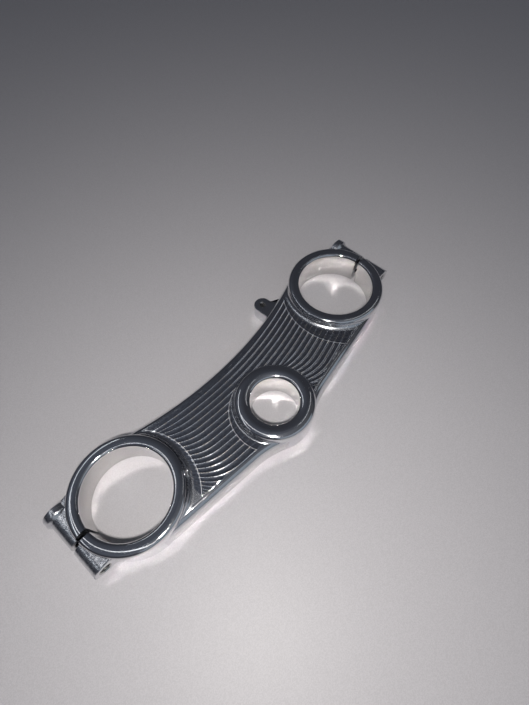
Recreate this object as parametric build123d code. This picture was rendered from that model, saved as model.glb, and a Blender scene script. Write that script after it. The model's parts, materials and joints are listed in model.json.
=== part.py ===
from build123d import *
import math
import os

os.makedirs("parts", exist_ok=True)

# Plan: origin on the stem bore axis at the bottom face, +X to the right fork, +Y to the front
FORK_SPACING = 200.0
FORK_OFFSET = 27.0
FORK_BORE = 54.0
FORK_WALL = 8.0
STEM_BORE = 32.0
STEM_WALL = 10.4
FRONT_EDGE_Y = 45.0
REAR_DROP = 12.0
REAR_BLEND_R = 60.0

# Heights above the bottom face
HEIGHT = 23.0
FLOOR_Z = 17.5
EDGE_ROUND = 4.5

# Ring rims and the coves at their feet
RIM_ROUND_OUT = 2.6
RIM_ROUND_IN = 2.0
BORE_CHAMFER = 0.6
FORK_COVE_R = 4.0
STEM_COVE_R = 2.5
COVE_LEDGE = 0.2
COVE_SINK = 0.1
ROUND_STEPS = 2

# Scalloped floor cut by a ball-nose cutter in curved passes
PASS_CENTER = (-5.5, 297.5)
PASS_FIRST_R = 258.0
PASS_PITCH = 3.87
PASS_LIFT = 0.1
PASS_END_X = 80.0
PASSES = 20
FRONT_PASSES = 5
RIGHT_PASSES = 16
BALL_R = 5.0
STOCK_LIFT = 0.65
STOCK_SINK = 0.4
HOOK_R = 32.0
LEFT_HOOK_X = -43.5
LEFT_FIRST_HOOK_R = 235.0
LEFT_HOOK_EASE = 130.0
LEFT_END_X = -8.0
RIGHT_START_X = 4.0
RIGHT_HOOK_X = 41.0
RIGHT_HOOK_STEP = 0.95
RIGHT_HOOK_FROM = 7
RIGHT_HOOK_EASE = 90.0
RIGHT_HOOK_LENGTH = 26.0

# Plain bands round the rings where the passes stop
LEFT_BAND_CENTER = (-102.0, 24.0)
LEFT_BAND_R = 42.0
RIGHT_BAND_CENTER = (100.0, 20.3)
RIGHT_BAND_R = 43.8
STEM_BAND_CENTER = (-4.5, -2.0)
STEM_BAND_R = 27.8

# Pinch bosses beside the fork rings
BOSS_X = 134.5
BOSS_Z = 12.0
BOSS_R = 7.0
BOSS_REAR = 20.0
BOSS_FRONT = 26.0
BOSS_CHAMFER = 0.5
BOSS_REAR_BLEND_R = 4.0
BOSS_FRONT_BLEND_R = 14.0
COLLAR_R = 9.0
COLLAR_LENGTH = 4.6
COLLAR_FLARE = 2.0
COLLAR_CHAMFER = 0.8
SLIT = 3.0
BOLT_CORE = 6.8
BOLT_CLEARANCE = 8.4

# Front lug
LUG_X = 56.0
LUG_Y = 60.6
LUG_R = 6.3
LUG_HEIGHT = 11.0
LUG_HOLE = 4.2
LUG_FLARE_R = 6.0

# Overlap of a cutter or a joined piece past the face it meets, and how close two points touch
OVERLAP = 1.0
TOUCH = 0.01

FORK_X = FORK_SPACING / 2
FORK_RING_R = FORK_BORE / 2 + FORK_WALL
STEM_RING_R = STEM_BORE / 2 + STEM_WALL


def polar(center, radius, angle):
    """Point at a radius and an angle in radians from a centre."""
    return (center[0] + radius * math.cos(angle), center[1] + radius * math.sin(angle))


def mirrored(point):
    """The same point on the left side."""
    return (-point[0], point[1])


def front_radius():
    """Radius of the front arc that runs tangent into both fork rings."""
    gap = FRONT_EDGE_Y - FORK_OFFSET
    top = FORK_X**2 + gap**2 - FORK_RING_R**2
    return top / (2 * (FORK_RING_R - gap))


FRONT_R = front_radius()
FRONT_CENTER = (0.0, FRONT_EDGE_Y + FRONT_R)
FORK_CENTER = (FORK_X, FORK_OFFSET)
STEM_CENTER = (0.0, 0.0)


def front_tangent():
    """Where the front arc leaves the right fork ring."""
    angle = math.atan2(FRONT_CENTER[1] - FORK_OFFSET, -FORK_X)
    return polar(FORK_CENTER, FORK_RING_R, angle)


def rear_points():
    """Fork tangent, blend start, blend middle and stem tangent of the right rear edge."""
    slope = math.atan(REAR_DROP / FORK_X)
    along = Vector(-math.cos(slope), -math.sin(slope))
    out = Vector(math.sin(slope), -math.cos(slope))
    fork = Vector(*FORK_CENTER) + out * FORK_RING_R
    stem = Vector(*STEM_CENTER)
    depth = (fork - stem).dot(out)
    reach = math.sqrt((STEM_RING_R + REAR_BLEND_R) ** 2 - (depth + REAR_BLEND_R) ** 2)
    start = stem + out * depth - along * reach
    blend = start + out * REAR_BLEND_R
    touch = stem + (blend - stem).normalized() * STEM_RING_R
    middle = blend + (start + touch - blend * 2).normalized() * REAR_BLEND_R
    return [(p.X, p.Y) for p in (fork, start, middle, touch)]


def plate_face():
    """Plan of the plate, closed through the three ring centres."""
    front = front_tangent()
    fork, start, middle, touch = rear_points()
    with BuildSketch() as sketch:
        with BuildLine():
            ThreePointArc(mirrored(front), (0, FRONT_EDGE_Y), front)
            Polyline(front, FORK_CENTER, fork, start)
            ThreePointArc(start, middle, touch)
            Polyline(touch, STEM_CENTER, mirrored(touch))
            ThreePointArc(mirrored(touch), mirrored(middle), mirrored(start))
            Polyline(mirrored(start), mirrored(fork), mirrored(FORK_CENTER), mirrored(front))
        make_face()
    return sketch.face()


def ends_at_ring_center(edge):
    """True for an edge that starts or stops on the axis of a ring."""
    centers = (FORK_CENTER, mirrored(FORK_CENTER), STEM_CENTER)
    ends = (edge @ 0, edge @ 1)
    return any(math.dist((end.X, end.Y), center) < TOUCH for end in ends for center in centers)


def build_plate():
    """Plate up to floor height with its front and rear edges rounded."""
    plate = extrude(plate_face(), FLOOR_Z)
    top = plate.edges().group_by(Axis.Z)[-1]
    return fillet(top.filter_by(lambda edge: not ends_at_ring_center(edge)), EDGE_ROUND)


def disc(center, radius):
    """Round area at a plan point."""
    return Pos(center[0], center[1], 0) * Circle(radius)


def inner_face():
    """Plan of the plate inside its rounded edges."""
    return offset(plate_face(), -EDGE_ROUND, kind=Kind.INTERSECTION)


def floor_zone():
    """Plan of the scalloped area, inside the rounded edges and clear of the ring bands."""
    zone = inner_face() - disc(LEFT_BAND_CENTER, LEFT_BAND_R)
    zone = zone - disc(RIGHT_BAND_CENTER, RIGHT_BAND_R)
    return zone - disc(STEM_BAND_CENTER, STEM_BAND_R)


def scallop_section(start, center):
    """Cutter cross-section, a shallow round segment, standing across a pass at its start."""
    bottom = FLOOR_Z + PASS_LIFT
    top = FLOOR_Z + STOCK_LIFT + OVERLAP / 2
    half = math.sqrt(BALL_R**2 - (bottom + BALL_R - top) ** 2)
    outward = Vector(start[0] - center[0], start[1] - center[1]).normalized()
    plane = Plane(origin=start, x_dir=outward, z_dir=outward.cross(Vector(0, 0, 1)))
    with BuildSketch(plane) as sketch:
        with BuildLine():
            ThreePointArc((-half, top), (0, bottom), (half, top))
            Line((half, top), (-half, top))
        make_face()
    return sketch.sketch.face()


def arc_pass(center, start, degrees):
    """Cutter volume swept round a centre from a start point."""
    axis = Axis((center[0], center[1], 0), (0, 0, 1))
    return revolve(scallop_section(start, center), axis, degrees)


def pass_radius(index):
    """Radius of a pass about the common centre, the first one at the front."""
    return PASS_FIRST_R + PASS_PITCH * index


def on_pass(index, x):
    """Plan point of a pass at an x."""
    radius = pass_radius(index)
    return (x, PASS_CENTER[1] - math.sqrt(radius**2 - (x - PASS_CENTER[0]) ** 2))


def long_arc(index, x_from, x_to):
    """Cutter volume of a pass between two x."""
    ends = [on_pass(index, x) for x in (x_from, x_to)]
    angles = [math.atan2(p[1] - PASS_CENTER[1], p[0] - PASS_CENTER[0]) for p in ends]
    return arc_pass(PASS_CENTER, ends[0], math.degrees(angles[1] - angles[0]))


def hook(index, x, radius, length):
    """Tighter arc that turns forwards from the left end of a pass."""
    start = on_pass(index, x)
    ratio = radius / pass_radius(index)
    center = tuple(s + (c - s) * ratio for s, c in zip(start, PASS_CENTER))
    return arc_pass(center, start, -math.degrees(length / radius))


def left_passes():
    """Passes that start at the left fork ring, the first few running right across."""
    cuts = []
    length = LEFT_HOOK_X - LEFT_BAND_CENTER[0]
    for index in range(PASSES):
        end_x = PASS_END_X if index < FRONT_PASSES else LEFT_END_X
        radius = HOOK_R + LEFT_HOOK_EASE / index**2 if index else LEFT_FIRST_HOOK_R
        cuts.append(long_arc(index, LEFT_HOOK_X, end_x))
        cuts.append(hook(index, LEFT_HOOK_X, radius, length))
    return cuts


def right_passes():
    """Passes between the stem ring and the right fork ring."""
    cuts = []
    for index in range(FRONT_PASSES, RIGHT_PASSES):
        late = index - RIGHT_HOOK_FROM
        if late < 0:
            cuts.append(long_arc(index, RIGHT_START_X, PASS_END_X))
            continue
        x = RIGHT_HOOK_X + RIGHT_HOOK_STEP * late
        radius = HOOK_R + RIGHT_HOOK_EASE / (late + 1) ** 2
        cuts.append(long_arc(index, x, PASS_END_X))
        cuts.append(hook(index, x, radius, RIGHT_HOOK_LENGTH))
    return cuts


def build_floor():
    """Thin slab over the scalloped area with every pass cut out of it."""
    slab = Pos(0, 0, FLOOR_Z - STOCK_SINK) * extrude(floor_zone(), STOCK_SINK + STOCK_LIFT)
    for cut in left_passes() + right_passes():
        slab = slab - cut
    return slab


def quarter_round(center, radius, start):
    """Points of a rounded corner from a start angle in degrees, in even steps."""
    turns = [start + 90 * step / ROUND_STEPS for step in range(ROUND_STEPS + 1)]
    return [polar(center, radius, math.radians(turn)) for turn in turns]


def turned(points, center):
    """Solid turned about an upright axis from points given as radius and height."""
    section = Plane.XZ * make_face(Polyline(*points, close=True))
    return Pos(center[0], center[1], 0) * revolve(section, Axis.Z)


def cove(center, radius, cove_r):
    """Concave foot of a ring, kept inside the rounded plate edges."""
    mid = (radius + cove_r + COVE_LEDGE, FLOOR_Z - COVE_SINK + cove_r)
    curve = quarter_round(mid, cove_r, 180)
    inner = radius - 2 * OVERLAP
    base = FLOOR_Z - OVERLAP
    points = [*curve, (mid[0], base), (inner, base), (inner, mid[1])]
    return turned(points, center) & extrude(inner_face(), HEIGHT)


def ring(center, bore, wall):
    """Upright ring with rounded rim edges and a chamfered lower bore edge."""
    inner = bore / 2
    outer = inner + wall
    outer_edge = quarter_round((outer - RIM_ROUND_OUT, HEIGHT - RIM_ROUND_OUT), RIM_ROUND_OUT, 0)
    inner_edge = quarter_round((inner + RIM_ROUND_IN, HEIGHT - RIM_ROUND_IN), RIM_ROUND_IN, 90)
    foot = [(inner, BORE_CHAMFER), (inner + BORE_CHAMFER, 0), (outer, 0)]
    return turned([*foot, *outer_edge, *inner_edge], center)


def along_y(profile, rear, front):
    """Profile in x and z, pushed along Y between two distances from the right fork axis."""
    plane = Plane((0, FORK_OFFSET + rear, 0), x_dir=(1, 0, 0), z_dir=(0, -1, 0))
    return extrude(plane * profile, rear - front)


def collar():
    """Wider front end of a boss, flared from the bar and chamfered at its face."""
    back = BOSS_FRONT - COLLAR_LENGTH
    root = BOSS_R - COVE_SINK
    section = make_face(
        Polyline(
            (0, back - COLLAR_FLARE),
            (root, back - COLLAR_FLARE),
            (COLLAR_R, back),
            (COLLAR_R, BOSS_FRONT - COLLAR_CHAMFER),
            (COLLAR_R - COLLAR_CHAMFER, BOSS_FRONT),
            (0, BOSS_FRONT),
            close=True,
        )
    )
    return Pos(BOSS_X, FORK_OFFSET, BOSS_Z) * revolve(section, Axis.Y)


def boss_blend(face, radius):
    """Hollow corner that carries a boss face, at a distance from the fork axis, into the ring wall."""
    way = math.copysign(1, face)
    rise = face + way * radius
    share = FORK_RING_R / (FORK_RING_R + radius)
    across = math.sqrt((FORK_RING_R + radius) ** 2 - rise**2)
    center = (FORK_X + across, FORK_OFFSET + rise)
    touch = (FORK_X + across * share, FORK_OFFSET + rise * share)
    root = FORK_OFFSET + face - way * OVERLAP
    corner = make_face(Polyline(touch, center, (center[0], root), (touch[0], root), close=True))
    return Pos(0, 0, BOSS_Z - BOSS_R) * extrude(corner - disc(center, radius), 2 * BOSS_R)


def boss():
    """Right pinch boss: a round bar with a web blended into the ring and a collar in front."""
    bar = Pos(BOSS_X, BOSS_Z) * Circle(BOSS_R)
    width = BOSS_X - FORK_X - FORK_BORE / 4
    web = Pos(BOSS_X - width / 2, BOSS_Z) * Rectangle(width, 2 * BOSS_R)
    block = along_y(bar + web, -BOSS_REAR, BOSS_FRONT)
    rear_edges = block.edges().group_by(Axis.Y)[0]
    block = chamfer(rear_edges, BOSS_CHAMFER) + collar()
    return block + boss_blend(-BOSS_REAR, BOSS_REAR_BLEND_R) + boss_blend(BOSS_FRONT, BOSS_FRONT_BLEND_R)


def lug_face():
    """Plan of the lug: a round end, a straight left side and a flared right side."""
    right = LUG_X + LUG_R
    flare_x = right + LUG_FLARE_R
    flare_y = FRONT_CENTER[1] - math.sqrt((FRONT_R - LUG_FLARE_R) ** 2 - flare_x**2)
    touch = polar(FRONT_CENTER, FRONT_R, math.atan2(flare_y - FRONT_CENTER[1], flare_x))
    root = FRONT_EDGE_Y
    tab = Pos(LUG_X, (root + LUG_Y) / 2) * Rectangle(2 * LUG_R, LUG_Y - root)
    corner = make_face(
        Polyline((right, flare_y), (flare_x, flare_y), touch, (touch[0], root), (right, root), close=True)
    )
    return tab + disc((LUG_X, LUG_Y), LUG_R) + (corner - disc((flare_x, flare_y), LUG_FLARE_R))


def build_blank():
    """Plate, scalloped floor, ring feet, bosses and lug, solid where the rings will stand."""
    blank = build_plate() + build_floor()
    for center in (FORK_CENTER, mirrored(FORK_CENTER)):
        blank = blank + cove(center, FORK_RING_R, FORK_COVE_R)
    blank = blank + cove(STEM_CENTER, STEM_RING_R, STEM_COVE_R)
    blank = blank + boss() + mirror(boss(), Plane.YZ)
    return blank + extrude(lug_face(), LUG_HEIGHT)


def upright_hole(center, diameter):
    """Cylinder through the full height at a plan point."""
    return Pos(center[0], center[1], HEIGHT / 2) * Cylinder(diameter / 2, 2 * HEIGHT)


def add_rings(blank):
    """The blank opened inside each ring wall, with the ring joined to it."""
    rings = [
        (FORK_CENTER, FORK_BORE, FORK_WALL),
        (mirrored(FORK_CENTER), FORK_BORE, FORK_WALL),
        (STEM_CENTER, STEM_BORE, STEM_WALL),
    ]
    for center, bore, wall in rings:
        blank = blank - upright_hole(center, bore + wall)
        blank = blank + ring(center, bore, wall)
    return blank


def bolt_hole(diameter, rear, front):
    """Hole along the right boss axis between two distances from the fork axis."""
    return along_y(Pos(BOSS_X, BOSS_Z) * Circle(diameter / 2), rear, front)


def pinch_cut():
    """Right slit through ring wall and boss, with the stepped bolt hole across it."""
    reach = BOSS_X + COLLAR_R + OVERLAP - FORK_X
    slit = Pos(FORK_X + reach / 2, FORK_OFFSET, HEIGHT / 2) * Box(reach, SLIT, 2 * HEIGHT)
    core = bolt_hole(BOLT_CORE, -BOSS_REAR - OVERLAP, 0)
    clearance = bolt_hole(BOLT_CLEARANCE, 0, BOSS_FRONT + OVERLAP)
    return [slit, core, clearance]


def build_clamp():
    """The finished clamp."""
    body = add_rings(build_blank())
    for cut in pinch_cut():
        body = body - cut - mirror(cut, Plane.YZ)
    return body - upright_hole((LUG_X, LUG_Y), LUG_HOLE)


clamp = build_clamp().solid()
export_step(clamp, "parts/triple_clamp.step")
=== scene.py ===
"""Dressed model of a motorcycle triple clamp machined from one aluminium billet.

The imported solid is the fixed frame. Finer surfaces stand for it: the bridge plate with its rounded
edges, the scalloped floor with every cutter pass, the three upright rings, the two pinch bosses and
the front lug. Shapes are worked out in millimetres with the clamp's origin on the stem axis, +X to
the right fork and +Y to the front, and go into the meshes in metres.
"""

import json
import logging
import math
from dataclasses import dataclass
from enum import Enum
from functools import cached_property, reduce
from typing import Any, NamedTuple

import bpy
import numpy as np
from mathutils import Matrix, Quaternion, Vector


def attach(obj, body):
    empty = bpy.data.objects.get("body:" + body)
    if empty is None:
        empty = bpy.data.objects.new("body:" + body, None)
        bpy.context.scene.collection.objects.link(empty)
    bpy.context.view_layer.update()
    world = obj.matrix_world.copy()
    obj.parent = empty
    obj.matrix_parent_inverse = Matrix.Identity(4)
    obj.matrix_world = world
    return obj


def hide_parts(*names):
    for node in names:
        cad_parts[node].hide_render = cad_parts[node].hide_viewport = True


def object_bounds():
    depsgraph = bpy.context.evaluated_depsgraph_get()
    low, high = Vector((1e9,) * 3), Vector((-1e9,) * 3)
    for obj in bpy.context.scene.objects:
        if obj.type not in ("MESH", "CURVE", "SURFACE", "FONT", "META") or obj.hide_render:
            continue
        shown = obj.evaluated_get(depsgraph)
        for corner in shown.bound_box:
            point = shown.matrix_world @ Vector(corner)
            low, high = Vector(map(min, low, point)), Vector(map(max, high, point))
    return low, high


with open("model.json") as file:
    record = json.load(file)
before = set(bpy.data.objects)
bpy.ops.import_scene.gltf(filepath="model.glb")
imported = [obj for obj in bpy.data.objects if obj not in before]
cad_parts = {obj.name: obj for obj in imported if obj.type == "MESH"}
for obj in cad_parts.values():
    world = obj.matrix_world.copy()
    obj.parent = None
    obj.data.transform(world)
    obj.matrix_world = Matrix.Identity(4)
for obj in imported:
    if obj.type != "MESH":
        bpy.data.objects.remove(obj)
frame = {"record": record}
CAD_LOW, CAD_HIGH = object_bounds()

LOG = logging.getLogger("triple_clamp")
MM = 0.001
WELD = 1e-4
QUARTER = math.pi / 2
SHARP_ANGLE = math.radians(34)
HOLE_COLUMNS = 40
THREAD_ROWS = 8
FACE_ROWS = 5
BODY = "root"
NODE = "triple_clamp"
PATTERN = ("pass_line", "pass_run", "pass_gap")

Array = np.ndarray
Span = tuple[float, float]
Triple = tuple[float, float, float]
Colour = tuple[float, float, float, float]
Measure = Array | float


class Skin(Enum):
    """Finish of a face, in the order of every piece's material slots."""

    POLISHED = 0
    SCALLOPED = 1
    BORED = 2
    MILLED = 3
    BANDED = 4
    SATIN = 5


class Side(Enum):
    """Side of the clamp, as the sign of X."""

    RIGHT = 1.0
    LEFT = -1.0


def smoothstep(low: float, high: float, value: Array) -> Array:
    """Eased ramp from 0 at low to 1 at high, by the cubic 3t^2 - 2t^3."""
    share = np.clip((value - low) / (high - low), 0.0, 1.0)
    return share * share * (3.0 - 2.0 * share)


def full_turn(count: int) -> Array:
    """Even angles round a full turn, as one row."""
    return np.linspace(0.0, math.tau, count + 1)[None, :-1]


def spun(centre: Span, radius: Measure, angle: Array) -> tuple[Array, Array]:
    """Two coordinates about a centre: the centre plus radius times (cos, sin) of the angle."""
    return centre[0] + radius * np.cos(angle), centre[1] + radius * np.sin(angle)


def arc_points(centre: Span, radius: float, start: float, end: float, count: int) -> Array:
    """Points of a circular arc, spun about its centre by an even run of angles.

    Args:
        centre: Centre of the arc in its own plane.
        radius: Radius of the arc.
        start: First angle in degrees.
        end: Last angle in degrees.
        count: Number of points.

    Returns:
        Array of shape (count, 2).
    """
    return stacked(*spun(centre, radius, np.radians(np.linspace(start, end, count))))


def stacked(*columns: Measure) -> Array:
    """Coordinates broadcast together and stacked as points."""
    return np.stack(np.broadcast_arrays(*columns), axis=-1)


def ruled(first: Array, second: Array) -> Array:
    """Face ruled from one loop of points to another: first plus an even share of the way to second."""
    return first + (second - first) * np.linspace(0.0, 1.0, FACE_ROWS)[:, None, None]


def rounded_wall(foot: float, top: float, radius: float, support: float, rows: int) -> tuple[Array, Array]:
    """Upright wall with a quarter round at its top.

    Args:
        foot: Height at which the wall begins.
        top: Height at which the round ends.
        radius: Radius of the round.
        support: Distance of an extra row below the round, which keeps the shading even.
        rows: Number of rows on the round.

    Returns:
        How far each row is drawn in, and its height.
    """
    turn = np.linspace(0.0, QUARTER, rows)
    shoulder = top - radius
    inset = np.concatenate([[0.0, 0.0], radius * (1 - np.cos(turn))])
    rise = np.concatenate([[foot, shoulder - support], shoulder + radius * np.sin(turn)])
    return inset, rise


def threaded_wall(
    radius: float, depth: float, pitch: float, start: float, end: float
) -> tuple[Array, Array, Array]:
    """Wall of a tapped hole: the radius grows by a triangle wave that climbs one pitch a turn.

    Args:
        radius: Radius over the thread crests.
        depth: Depth of the thread, which runs out over one pitch at both ends.
        pitch: Rise of one turn.
        start: Where the wall begins along the axis.
        end: Where it ends.

    Returns:
        Angle, distance along the axis and radius, each for rows by columns.
    """
    rows = int(abs(end - start) / pitch * THREAD_ROWS) + 1
    along = np.linspace(start, end, rows)[:, None]
    angle = full_turn(HOLE_COLUMNS)
    wave = np.abs(2 * ((along / pitch - angle / math.tau) % 1.0) - 1)
    ends = np.minimum(np.abs(along - start), np.abs(along - end))
    return angle, along, radius + depth * wave * smoothstep(0.0, pitch, ends)


def placed(name: str, data: bpy.types.ID) -> bpy.types.Object:
    """Puts a new object with this data into the scene."""
    item = bpy.data.objects.new(name, data)
    bpy.context.scene.collection.objects.link(item)
    return item


def facing(place: Triple, aim: Triple) -> Quaternion:
    """Rotation that turns the front of a lamp or camera from its place towards a point."""
    return (Vector(aim) - Vector(place)).to_track_quat("-Z", "Y")


class Shell:
    """Gathers grids of points in millimetres into one welded mesh."""

    def __init__(self, name: str, side: Side = Side.RIGHT) -> None:
        """Starts an empty shell; a left one is the mirror image of what is added."""
        self.name = name
        self.side = side
        self.parts: list[tuple[Array, ...]] = []
        self.count = 0

    def _add(self, points: Array, faces: Array, skins: Array, lines: Array) -> None:
        """Stores points and same-sized faces, turned round on the left side."""
        mirrored = points * np.array([self.side.value, 1.0, 1.0])
        if self.side is Side.LEFT:
            faces = faces[:, ::-1]
        sizes = np.full(len(faces), faces.shape[1])
        self.parts.append((mirrored, (faces + self.count).ravel(), sizes, skins, lines))
        self.count += len(points)

    def grid(
        self,
        points: Array,
        skin: Skin | Array,
        wrap: bool = False,
        turn: bool = False,
        keep: Array | None = None,
        line: Array | None = None,
    ) -> None:
        """Adds a grid as quads between neighbouring rows and columns.

        Args:
            points: Array of shape (rows, columns, 3).
            skin: One finish, or a finish number for each strip between two rows.
            wrap: Whether the last column joins the first.
            turn: Whether the faces look the other way.
            keep: Mask over the points; a quad stays if all its corners do.
            line: Pattern coordinates for each point, of shape (rows, columns, 3).
        """
        rows, columns = points.shape[:2]
        index = np.arange(rows * columns).reshape(rows, columns)
        if wrap:
            index = np.concatenate([index, index[:, :1]], axis=1)
        quads = np.stack([index[:-1, :-1], index[:-1, 1:], index[1:, 1:], index[1:, :-1]], axis=-1)
        if turn:
            quads = quads[..., ::-1]
        strip = skin.value if isinstance(skin, Skin) else np.asarray(skin)[:, None]
        skins = np.broadcast_to(strip, quads.shape[:2]).ravel()
        quads = quads.reshape(-1, 4)
        if keep is not None:
            whole = keep.ravel()[quads].all(axis=1)
            quads, skins = quads[whole], skins[whole]
        size = (rows * columns, len(PATTERN))
        lines = np.zeros(size) if line is None else line.reshape(size)
        self._add(points.reshape(-1, 3), quads, skins, lines)

    def cap(self, loop: Array, skin: Skin) -> None:
        """Adds one flat face through a loop of points."""
        face = np.arange(len(loop))[None, :]
        self._add(loop, face, np.array([skin.value]), np.zeros((len(loop), len(PATTERN))))

    def mesh(self) -> bpy.types.Mesh:
        """Welds equal points, drops unused ones and writes the mesh.

        Returns:
            The mesh in metres, smooth except across sharp edges.
        """
        points, corners, sizes, skins, lines = map(np.concatenate, zip(*self.parts))
        used = np.unique(corners)
        steps = np.round(points[used] / WELD).astype(np.int64)
        _, first, same = np.unique(steps, axis=0, return_index=True, return_inverse=True)
        welded = np.zeros(len(points), np.int64)
        welded[used] = same.ravel()
        kept = used[first]
        mesh = bpy.data.meshes.new(self.name)
        mesh.vertices.add(len(kept))
        mesh.vertices.foreach_set("co", (points[kept] * MM).astype(np.float32).ravel())
        mesh.loops.add(len(corners))
        mesh.loops.foreach_set("vertex_index", welded[corners].astype(np.int32))
        mesh.polygons.add(len(sizes))
        mesh.polygons.foreach_set("loop_start", (np.cumsum(sizes) - sizes).astype(np.int32))
        mesh.polygons.foreach_set("material_index", skins.astype(np.int32))
        for name, values in zip(PATTERN, lines[kept].astype(np.float32).T):
            pattern = mesh.attributes.new(name, "FLOAT", "POINT")
            pattern.data.foreach_set("value", np.ascontiguousarray(values))
        mesh.update(calc_edges=True)
        mesh.validate()
        mesh.shade_smooth()
        mesh.set_sharp_from_angle(angle=SHARP_ANGLE)
        return mesh


class Value:
    """A number or colour in a material, whose arithmetic adds Math nodes."""

    def __init__(self, recipe: "Recipe", socket: bpy.types.NodeSocket) -> None:
        """Wraps an output socket of a recipe's node."""
        self.recipe = recipe
        self.socket = socket

    def math(self, operation: str, other: Any = 0.0) -> "Value":
        """Result of one Math node on this value and another."""
        sockets = {"Value": self, "Value_001": other}
        return self.recipe.node("ShaderNodeMath", {"operation": operation}, sockets, "Value")

    def __add__(self, other: Any) -> "Value":
        """Sum."""
        return self.math("ADD", other)

    __radd__ = __add__

    def __sub__(self, other: Any) -> "Value":
        """Difference."""
        return self.math("SUBTRACT", other)

    def __rsub__(self, other: Any) -> "Value":
        """Difference from a plain number."""
        return self * -1.0 + other

    def __mul__(self, other: Any) -> "Value":
        """Product."""
        return self.math("MULTIPLY", other)

    def __truediv__(self, other: Any) -> "Value":
        """Quotient."""
        return self.math("DIVIDE", other)

    def wave(self) -> "Value":
        """Sine of this value, brought to between 0 and 1."""
        return self.math("SINE") * 0.5 + 0.5

    def raised(self, least: float) -> "Value":
        """This value of 0 to 1, squeezed to between least and 1."""
        return self * (1.0 - least) + least

    def ramp(self, low: float, high: float) -> "Value":
        """Eased ramp from 0 at low to 1 at high."""
        settings = {"interpolation_type": "SMOOTHSTEP"}
        sockets = {"Value": self, "From Min": low, "From Max": high}
        return self.recipe.node("ShaderNodeMapRange", settings, sockets, "Result")


class Recipe:
    """Node tree whose nodes are added as expressions."""

    def __init__(self, tree: bpy.types.NodeTree) -> None:
        """Starts on an existing tree."""
        self.tree = tree

    def put(self, node: bpy.types.Node, key: str, value: Any) -> None:
        """Sets or links the socket of a node that has this name or identifier."""
        socket = next(s for s in node.inputs if key in (s.identifier, s.name))
        if isinstance(value, Value):
            self.tree.links.new(value.socket, socket)
        else:
            socket.default_value = value

    def node(self, kind: str, settings: dict[str, Any], sockets: dict[str, Any], result: str) -> Value:
        """Adds a node of any type.

        Args:
            kind: Blender's name of the node type.
            settings: Properties of the node, set before its sockets.
            sockets: Values or links of its inputs, by name or identifier.
            result: Name or identifier of the output to return.

        Returns:
            The chosen output.
        """
        node = self.tree.nodes.new(kind)
        for key, value in settings.items():
            setattr(node, key, value)
        for key, value in sockets.items():
            self.put(node, key, value)
        return Value(self, next(s for s in node.outputs if result in (s.identifier, s.name)))

    def place(self) -> Value:
        """Object coordinates, in metres."""
        return self.node("ShaderNodeTexCoord", {}, {}, "Object")

    def axis(self, vector: Value, name: str) -> Value:
        """One coordinate of a vector."""
        return self.node("ShaderNodeSeparateXYZ", {}, {"Vector": vector}, name)

    def stretched(self, scale: Triple) -> Value:
        """Object coordinates, each times a scale of its own."""
        sockets = {"Vector": self.place(), "Vector_001": scale}
        return self.node("ShaderNodeVectorMath", {"operation": "MULTIPLY"}, sockets, "Vector")

    def distance(self, vector: Value, point: Triple) -> Value:
        """Distance of a vector from a fixed point."""
        sockets = {"Vector": vector, "Vector_001": point}
        return self.node("ShaderNodeVectorMath", {"operation": "DISTANCE"}, sockets, "Value")

    def noise(self, scale: float | Triple, detail: float = 2.0) -> Value:
        """Soft noise from 0 to 1; three scales draw it out along the axes."""
        drawn = isinstance(scale, tuple)
        vector = self.stretched(scale) if drawn else self.place()
        sockets = {"Vector": vector, "Scale": 1.0 if drawn else scale, "Detail": detail}
        return self.node("ShaderNodeTexNoise", {}, sockets, "Fac")

    def blend(self, factor: Value, first: Any, second: Any) -> Value:
        """Colour from first to second by a factor."""
        sockets = {"Factor_Float": factor, "A_Color": first, "B_Color": second}
        return self.node("ShaderNodeMix", {"data_type": "RGBA"}, sockets, "Result_Color")

    def attribute(self, name: str) -> Value:
        """A number stored on the mesh's points."""
        return self.node("ShaderNodeAttribute", {"attribute_name": name}, {}, "Fac")

    def bump(self, height: Value, strength: float, depth_mm: float) -> Value:
        """Normal of a surface raised by height times a depth."""
        sockets = {"Height": height, "Strength": strength, "Distance": depth_mm * MM}
        return self.node("ShaderNodeBump", {}, sockets, "Normal")


class SurfaceRecipe(Recipe):
    """Node tree of one material, with a Principled shader at its end."""

    def __init__(self, name: str) -> None:
        """Starts a material with only its shader and output."""
        self.material = bpy.data.materials.new(name)
        self.material.use_nodes = True
        super().__init__(self.material.node_tree)
        self.tree.nodes.clear()
        self.shader = self.tree.nodes.new("ShaderNodeBsdfPrincipled")
        output = self.tree.nodes.new("ShaderNodeOutputMaterial")
        self.tree.links.new(self.shader.outputs["BSDF"], output.inputs["Surface"])

    def finish(self, sockets: dict[str, Any]) -> bpy.types.Material:
        """Sets the shader's sockets and hands over the material."""
        for key, value in sockets.items():
            self.put(self.shader, key, value)
        return self.material


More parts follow.
